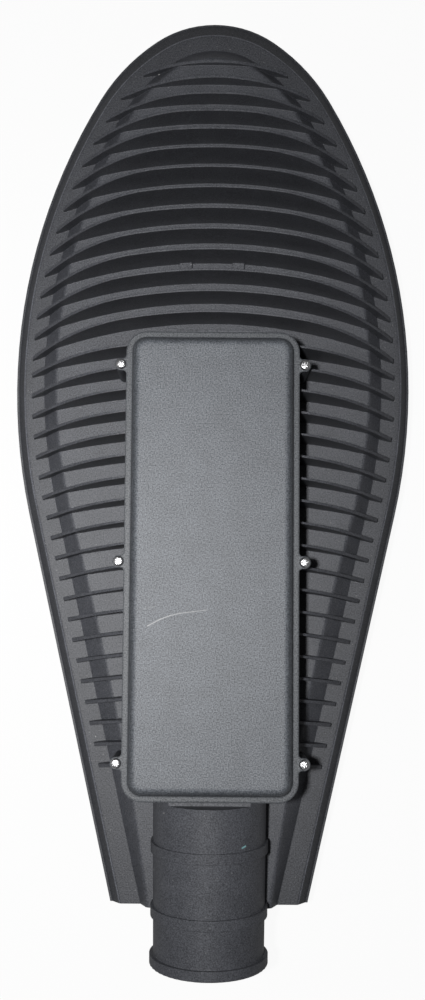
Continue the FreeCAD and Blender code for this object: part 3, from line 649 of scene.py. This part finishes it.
def shade(bm: bmesh.types.BMesh, angle: float) -> None:
    """Shades a mesh smoothly, apart from its sharper edges.

    Args:
        bm: the mesh.
        angle: angle in degrees from which an edge is sharp.
    """
    limit = math.radians(angle)
    for face in bm.faces:
        face.smooth = True
    for edge in bm.edges:
        edge.smooth = len(edge.link_faces) == 2 and edge.calc_face_angle() < limit


def finished(name: str, bm: bmesh.types.BMesh) -> bpy.types.Mesh:
    """Turns a bmesh into a mesh.

    Args:
        name: the mesh's name.
        bm: the bmesh, which is freed.

    Returns:
        The mesh.
    """
    mesh = bpy.data.meshes.new(name)
    bm.to_mesh(mesh)
    bm.free()
    return mesh


def repeated(pattern: bpy.types.Mesh, places: list[Matrix]) -> bmesh.types.BMesh:
    """Sets a mesh at several places.

    Args:
        pattern: the mesh, which is removed.
        places: where each copy goes.

    Returns:
        All the copies.
    """
    bm = bmesh.new()
    for place in places:
        known = set(bm.verts)
        bm.from_mesh(pattern)
        bmesh.ops.transform(bm, matrix=place, verts=[v for v in bm.verts if v not in known])
    bpy.data.meshes.remove(pattern)
    return bm


def new_piece(name: str, bm: bmesh.types.BMesh, material: bpy.types.Material) -> bpy.types.Object:
    """Makes an object from a finished bmesh.

    Args:
        name: the object's name.
        bm: its mesh, which is freed.
        material: its material.

    Returns:
        The object.
    """
    mesh = finished(name, bm)
    dress(mesh, material)
    piece = bpy.data.objects.new(name, mesh)
    bpy.context.scene.collection.objects.link(piece)
    return piece


@dataclass
class SmoothShell:
    """A node's own shape, merged and smoothly shaded between its true edges."""

    node: str
    slot: Slot
    edge_angle: float = 34.0

    def build(self, nodes: dict[str, bpy.types.Object], material: bpy.types.Material) -> bpy.types.Object:
        """Copies the node's mesh, merges it and shades it smoothly.

        Args:
            nodes: the frame's nodes by name.
            material: the finish.

        Returns:
            The piece that replaces the node.
        """
        bm = bmesh.new()
        bm.from_mesh(nodes[self.node].data)
        bmesh.ops.remove_doubles(bm, verts=bm.verts, dist=MERGE)
        shade(bm, self.edge_angle)
        for layer in list(bm.loops.layers.float_vector.values()):
            bm.loops.layers.float_vector.remove(layer)
        piece = new_piece(self.node + "_shell", bm, material)
        weighted = piece.modifiers.new("even shading", "WEIGHTED_NORMAL")
        weighted.keep_sharp = True
        weighted.weight = 100
        stand_for(piece, self.node)
        return piece


@dataclass
class CrossScrew:
    """Pan head screw with a cross recess, modelled head up at the origin.

    The outline gives shares of the head's radius and height, and the recess's sizes are shares too.
    """

    head_radius: float
    head: float
    shank_radius: float
    length: float
    outline: tuple[tuple[float, float], ...] = ((0.66, 1.0), (0.86, 0.84), (0.98, 0.56), (1.0, 0.3), (0.98, 0.0))
    point_start: float = 0.92
    point_radius: float = 0.6
    recess_arm: float = 0.6
    recess_half: float = 0.15
    recess_depth: float = 0.75
    recess_floor: float = 0.7
    edge_angle: float = 38.0
    steps: int = 24

    def profile(self) -> list[tuple[float, float]]:
        """Radius and height of the outline from the crown's edge down to the tip."""
        return [
            *((self.head_radius * radius, self.head * height) for radius, height in self.outline),
            (self.shank_radius, 0.0),
            (self.shank_radius, -self.length * self.point_start),
            (self.shank_radius * self.point_radius, -self.length),
        ]

    def cross(self, bm: bmesh.types.BMesh) -> list[bmesh.types.BMEdge]:
        """Draws the recess's outline on the crown.

        Args:
            bm: the screw's mesh.

        Returns:
            The outline's edges.
        """
        arm, half = self.head_radius * self.recess_arm, self.head_radius * self.recess_half
        points = []
        for quarter in range(4):
            turn = Matrix.Rotation(quarter * math.pi / 2, 3, "Z")
            points += [turn @ Vector((x, y, self.head)) for x, y in ((arm, -half), (arm, half), (half, half))]
        verts = [bm.verts.new(point) for point in points]
        return [bm.edges.new((a, b)) for a, b in zip(verts, verts[1:] + verts[:1])]

    def mesh(self) -> bpy.types.Mesh:
        """Builds the screw.

        Returns:
            Its mesh, to be repeated.
        """
        bm = bmesh.new()
        verts = [bm.verts.new((radius, 0.0, height)) for radius, height in self.profile()]
        edges = [bm.edges.new(pair) for pair in zip(verts, verts[1:])]
        bmesh.ops.spin(
            bm, geom=verts + edges, cent=(0, 0, 0), axis=(0, 0, 1), angle=2 * math.pi, steps=self.steps, use_merge=True
        )
        bmesh.ops.remove_doubles(bm, verts=bm.verts, dist=MERGE)
        ends = [e for e in bm.edges if e.is_boundary]
        crown = [e for e in ends if all(v.co.z > 0 for v in e.verts)]
        bmesh.ops.contextual_create(bm, geom=[e for e in ends if e not in crown])
        recess = self.cross(bm)
        bmesh.ops.bridge_loops(bm, edges=crown + recess)
        floor = bmesh.ops.contextual_create(bm, geom=recess)["faces"]
        pushed = bmesh.ops.extrude_face_region(bm, geom=floor)["geom"]
        bmesh.ops.delete(bm, geom=floor, context="FACES_ONLY")
        sunk = [v for v in pushed if isinstance(v, bmesh.types.BMVert)]
        bmesh.ops.scale(bm, vec=(self.recess_floor, self.recess_floor, 1.0), verts=sunk)
        bmesh.ops.translate(bm, vec=(0, 0, -self.head * self.recess_depth), verts=sunk)
        bmesh.ops.recalc_face_normals(bm, faces=bm.faces)
        shade(bm, self.edge_angle)
        return finished("screw_pattern", bm)


@dataclass
class ScrewGroup:
    """Like screws at several places, as one piece."""

    node: str
    screw: CrossScrew
    places: list[Vector]
    axis: Vector
    turns: tuple[float, ...] = (0.3, 1.1, 0.7, 0.1, 0.9, 0.5)

    def build(self, material: bpy.types.Material) -> bpy.types.Object:
        """Sets a screw at each place, turned by its own angle.

        Args:
            material: the finish.

        Returns:
            The piece that replaces the node.
        """
        upright = self.axis.to_track_quat("Z", "Y").to_matrix().to_4x4()
        places = [
            Matrix.Translation(place) @ upright @ Matrix.Rotation(turn, 4, "Z")
            for place, turn in zip(self.places, self.turns, strict=True)
        ]
        piece = new_piece(self.node + "_detailed", repeated(self.screw.mesh(), places), material)
        stand_for(piece, self.node)
        return piece


@dataclass
class Casting:
    """The finned housing in its powder coat."""

    node: str = "housing"
    edge_angle: float = 30.0

    def build(self, nodes: dict[str, bpy.types.Object], finishes: Finishes) -> None:
        """Dresses the casting.

        Args:
            nodes: the frame's nodes by name.
            finishes: the built finishes.
        """
        shell = SmoothShell(self.node, Slot.POWDER_COAT, self.edge_angle)
        shell.build(nodes, finishes.built[Slot.POWDER_COAT])


@dataclass
class DriverCover:
    """The scratched cover of the driver box, with its six screws."""

    rows_y: tuple[float, ...] = (0.121, 0.238, 0.355)
    screw_x: float = 0.0545
    seat_z: float = 0.0384
    screw: CrossScrew = field(default_factory=lambda: CrossScrew(0.0031, 0.0023, 0.0017, 0.014))

    def build(self, nodes: dict[str, bpy.types.Object], finishes: Finishes) -> None:
        """Dresses the cover and sets its screws.

        Args:
            nodes: the frame's nodes by name.
            finishes: the built finishes.
        """
        # painted highlight: the cover gets the lighter copy of the powder coat
        coat = finishes.lit_cover_coat.material("powder_coat_cover_lit")
        SmoothShell("driver_cover", Slot.POWDER_COAT).build(nodes, coat)
        places = [Vector((side * self.screw_x, y, self.seat_z)) for y in self.rows_y for side in (-1, 1)]
        group = ScrewGroup("cover_screws", self.screw, places, Vector((0, 0, 1)))
        group.build(finishes.built[Slot.BRIGHT_STEEL])


@dataclass
class PoleClamp:
    """Hexagon bolts with rolled threads, and their lock nuts, under the sleeve."""

    tilt: float = math.radians(5.8)
    places: tuple[float, ...] = (0.018, 0.052)
    tip: float = 0.0311
    shank: float = 0.018
    radius: float = 0.004
    pitch: float = 0.00125
    thread: float = 0.0007
    thread_half: float = 0.42
    thread_root: float = 0.0001
    thread_steps: int = 20
    core_segments: int = 28
    across: float = 0.013
    head: float = 0.00527
    head_bevel: float = 0.0007

    def rod(self, bm: bmesh.types.BMesh, radius: float, segments: int, top: float, length: float) -> None:
        """Adds an upright rod.

        Args:
            bm: the bolt's mesh.
            radius: the rod's radius.
            segments: its sides.
            top: height of its upper end.
            length: its length.
        """
        place = Matrix.Translation((0, 0, top - length / 2))
        bmesh.ops.create_cone(
            bm, cap_ends=True, segments=segments, radius1=radius, radius2=radius, depth=length, matrix=place
        )

    def bolt(self) -> bpy.types.Mesh:
        """Builds one bolt, tip up at the origin and head below.

        Returns:
            Its mesh, to be repeated.
        """
        bm = bmesh.new()
        self.rod(bm, self.radius - self.thread, self.core_segments, 0.0, self.shank)
        self.rod(bm, self.across / math.sqrt(3), 6, -self.shank, self.head)
        low = -self.shank - self.head * 0.9
        rim = [e for e in bm.edges if all(v.co.z < low for v in e.verts)]
        bmesh.ops.bevel(bm, geom=rim, offset=self.head_bevel, segments=2, profile=0.5, affect="EDGES", material=-1)
        self.add_thread(bm)
        bmesh.ops.recalc_face_normals(bm, faces=bm.faces)
        return finished("bolt_pattern", bm)

    def add_thread(self, bm: bmesh.types.BMesh) -> None:
        """Winds the thread's ridge round the core.

        Args:
            bm: the bolt's mesh.
        """
        half = self.pitch * self.thread_half
        root = self.radius - self.thread - self.thread_root
        corners = ((root, -half), (self.radius, 0.0), (root, half))
        verts = [bm.verts.new((radius, 0.0, height - self.pitch)) for radius, height in corners]
        face = bm.faces.new(verts)
        turns = int((self.shank - 2 * self.pitch) / self.pitch)
        bmesh.ops.spin(
            bm,
            geom=[face] + list(face.edges) + verts,
            cent=(0, 0, 0),
            axis=(0, 0, 1),
            dvec=(0, 0, -self.pitch / self.thread_steps),
            angle=2 * math.pi * turns,
            steps=self.thread_steps * turns,
        )

    def build(self, nodes: dict[str, bpy.types.Object], finishes: Finishes) -> None:
        """Sets the bolts and dresses the nuts.

        Args:
            nodes: the frame's nodes by name.
            finishes: the built finishes.
        """
        steel = finishes.built[Slot.BRIGHT_STEEL]
        dress(nodes["pole_bolt_nuts"].data, steel)
        upright = Matrix.Rotation(self.tilt, 4, "X")
        tips = [upright @ Matrix.Translation((0, place, -self.tip)) for place in self.places]
        piece = new_piece("pole_bolts_detailed", repeated(self.bolt(), tips), steel)
        stand_for(piece, "pole_bolts")


@dataclass
class LampModule:
    """One light source under its domed glass, with the frame that holds it."""

    name: str
    centre_y: float
    seat_z: float = -0.0274
    circle: float = 0.0574
    count: int = 6
    screw: CrossScrew = field(default_factory=lambda: CrossScrew(0.0039, 0.0026, 0.002, 0.016))

    def build(self, nodes: dict[str, bpy.types.Object], finishes: Finishes) -> None:
        """Dresses the module and sets its frame's screws.

        Args:
            nodes: the frame's nodes by name.
            finishes: the built finishes.
        """
        built = finishes.built
        for part, slot in (
            ("lens_frame", Slot.POWDER_COAT),
            ("lens_glass", Slot.CLEAR_GLASS),
            ("reflector", Slot.MIRROR_BOWL),
            ("lens_gasket", Slot.SILICONE),
        ):
            SmoothShell(f"{self.name}_{part}", slot).build(nodes, built[slot])
        for part, slot in (
            ("cob_board", Slot.BOARD_METAL),
            ("cob_emitter", Slot.PHOSPHOR),
            ("cob_screws", Slot.BRIGHT_STEEL),
        ):
            dress(nodes[f"{self.name}_{part}"].data, built[slot])
        places = []
        for i in range(self.count):
            turn = 2 * math.pi * (i + 0.5) / self.count
            x, y = self.circle * math.cos(turn), self.circle * math.sin(turn)
            places.append(Vector((x, self.centre_y + y, self.seat_z)))
        group = ScrewGroup(f"{self.name}_lens_screws", self.screw, places, Vector((0, 0, -1)))
        group.build(built[Slot.BRIGHT_STEEL])


@dataclass
class GearTray:
    """Driver, terminals and seals, which the cover hides."""

    finishes: dict[str, Slot] = field(
        default_factory=lambda: {
            "cover_gasket": Slot.SILICONE,
            "cord_grommet": Slot.BLACK_PLASTIC,
            "lead_grommet": Slot.BLACK_PLASTIC,
            "driver_case": Slot.CASE_METAL,
            "driver_end_plate_rear": Slot.CASE_METAL,
            "driver_end_plate_front": Slot.CASE_METAL,
            "driver_screws": Slot.BRIGHT_STEEL,
            "driver_plate_screws": Slot.BRIGHT_STEEL,
            "terminal_block": Slot.WHITE_PLASTIC,
            "terminal_screws": Slot.BRASS,
            "terminal_block_screws": Slot.BRIGHT_STEEL,
            "earth_washer": Slot.BRASS,
            "earth_screw": Slot.BRASS,
            "cord_clamp": Slot.BLACK_PLASTIC,
            "cord_clamp_screws": Slot.BRIGHT_STEEL,
        }
    )

    def build(self, nodes: dict[str, bpy.types.Object], finishes: Finishes) -> None:
        """Dresses each node in its finish.

        Args:
            nodes: the frame's nodes by name.
            finishes: the built finishes.
        """
        for node, slot in self.finishes.items():
            dress(nodes[node].data, finishes.built[slot])


@dataclass
class Studio:
    """Pale floor, a flash near the lens, soft fill light and the camera."""

    floor_half: float = 4.0
    floor_gap: float = 0.0005
    floor_grain: float = 0.05
    floor_tone: tuple[float, float] = (0.78, 0.82)
    shadow_share: float = 0.06
    floor_in_gloss: float = 0.3
    floor_bounce: float = 0.2
    sky: float = 0.06
    sky_in_gloss: float = 0.1
    flash_place: Point = (-0.145, 0.21, 1.1)
    target: Point = (-0.15, 0.26, 0.0)
    flash_size: float = 0.06
    flash_spread: float = math.radians(70)
    flash_power: float = 1.85
    fill_place: Point = (-0.9, 0.1, 0.75)
    fill_size: float = 0.7
    fill_power: float = 0.8
    camera_place: Point = (0.0, 0.2012, 0.859)
    camera_tilt: float = math.radians(5.1)
    camera_roll: float = math.radians(0.45)
    camera_reach: tuple[float, float] = (0.05, 50.0)
    sensor: float = 36.0
    lens: float = 50.4
    shift: float = 0.0015

    def matt(self, graph: Graph, bounce: float) -> bpy.types.NodeSocket:
        """Adds a matt pale shade.

        Args:
            graph: the floor's graph.
            bounce: how much of its tone it has.

        Returns:
            The shade.
        """
        shade_node = graph.add("BsdfDiffuse")
        low, high = self.floor_tone
        tone = graph.spread(graph.noise(self.floor_grain), 0.0, 1.0, (low * bounce, high * bounce))
        graph.join(graph.shaded(WHITE, tone), shade_node.inputs["Color"])
        return shade_node.outputs[0]

    def floor(self) -> None:
        """Lays the floor just under the lowest point, white to the camera and dim as a source of light."""
        low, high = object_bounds()
        middle = (low + high) / 2
        place = Matrix.Translation((middle.x, middle.y, low.z - self.floor_gap))
        bm = bmesh.new()
        bmesh.ops.create_grid(bm, x_segments=1, y_segments=1, size=self.floor_half, matrix=place)
        graph = Graph("pale_floor")
        glow = graph.add("Emission")
        direct = graph.seen("Is Camera Ray", "Is Transmission Ray")
        graph.join(graph.spread(direct, 0.0, 1.0, (self.floor_in_gloss, 1.0)), glow.inputs["Strength"])
        shown = graph.blend(self.shadow_share, glow.outputs[0], self.matt(graph, 1.0))
        seen = graph.seen("Is Camera Ray", "Is Glossy Ray", "Is Transmission Ray")
        whole = graph.blend(seen, self.matt(graph, self.floor_bounce), shown)
        graph.join(whole, graph.output.inputs["Surface"])
        new_piece("floor", bm, graph.material)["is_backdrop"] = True

    def world(self) -> None:
        """Lights everything softly, and shows white to the camera."""
        world = bpy.data.worlds.new("studio")
        bpy.context.scene.world = world
        world.use_nodes = True
        nodes = Nodes(world.node_tree)
        shades = []
        for strength in (self.sky, self.sky_in_gloss, 1.0):
            background = nodes.add("Background")
            background.inputs["Color"].default_value = (*WHITE, 1.0)
            background.inputs["Strength"].default_value = strength
            shades.append(background.outputs[0])
        plain, glossy, direct = shades
        light = nodes.blend(nodes.seen("Is Glossy Ray", "Is Transmission Ray"), plain, glossy)
        whole = nodes.blend(nodes.seen("Is Camera Ray"), light, direct)
        nodes.join(whole, nodes.add("OutputWorld").inputs["Surface"])

    def lamp(self, name: str, place: Point, size: float, power: float) -> bpy.types.AreaLight:
        """Hangs a square area lamp, level along the head, that points at the target.

        Args:
            name: its name.
            place: where it hangs.
            size: its side.
            power: its power in watts.

        Returns:
            The lamp's data.
        """
        data = bpy.data.lights.new(name, "AREA")
        data.size = size
        data.energy = power
        lamp = bpy.data.objects.new(name, data)
        lamp.location = place
        lamp.rotation_mode = "QUATERNION"
        back = (Vector(place) - Vector(self.target)).normalized()
        across = Vector((0, 1, 0)).cross(back).normalized()
        lamp.rotation_quaternion = Matrix((across, back.cross(across), back)).transposed().to_quaternion()
        bpy.context.scene.collection.objects.link(lamp)
        return data

    def camera(self) -> None:
        """Sets the camera over the head, as the photograph was taken."""
        data = bpy.data.cameras.new("camera")
        data.sensor_width = self.sensor
        data.lens = self.lens
        data.shift_x = self.shift
        data.clip_start, data.clip_end = self.camera_reach
        camera = bpy.data.objects.new("camera", data)
        towards = Matrix.Rotation(self.camera_roll, 3, "Z") @ Matrix.Rotation(self.camera_tilt, 3, "X")
        camera.matrix_world = Matrix.Translation(self.camera_place) @ towards.to_4x4()
        bpy.context.scene.collection.objects.link(camera)
        bpy.context.scene.camera = camera

    def build(self) -> None:
        """Sets up floor, light and camera."""
        self.floor()
        self.world()
        flash = self.lamp("flash", self.flash_place, self.flash_size, self.flash_power)
        flash.spread = self.flash_spread
        self.lamp("fill", self.fill_place, self.fill_size, self.fill_power)
        self.camera()
        bpy.context.scene.view_settings.view_transform = "Standard"


def main() -> None:
    """Builds the street light head and its studio."""
    logging.basicConfig(level=logging.INFO, format="%(name)s: %(message)s")
    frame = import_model()
    nodes = frame["nodes"]
    finishes = Finishes()
    finishes.build()
    modules = (LampModule("rear", 0.315), LampModule("front", 0.455))
    for assembly in (Casting(), DriverCover(), PoleClamp(), *modules, GearTray()):
        assembly.build(nodes, finishes)
        log.info("%s built", type(assembly).__name__)
    Studio().build()


if __name__ == "__main__":
    main()
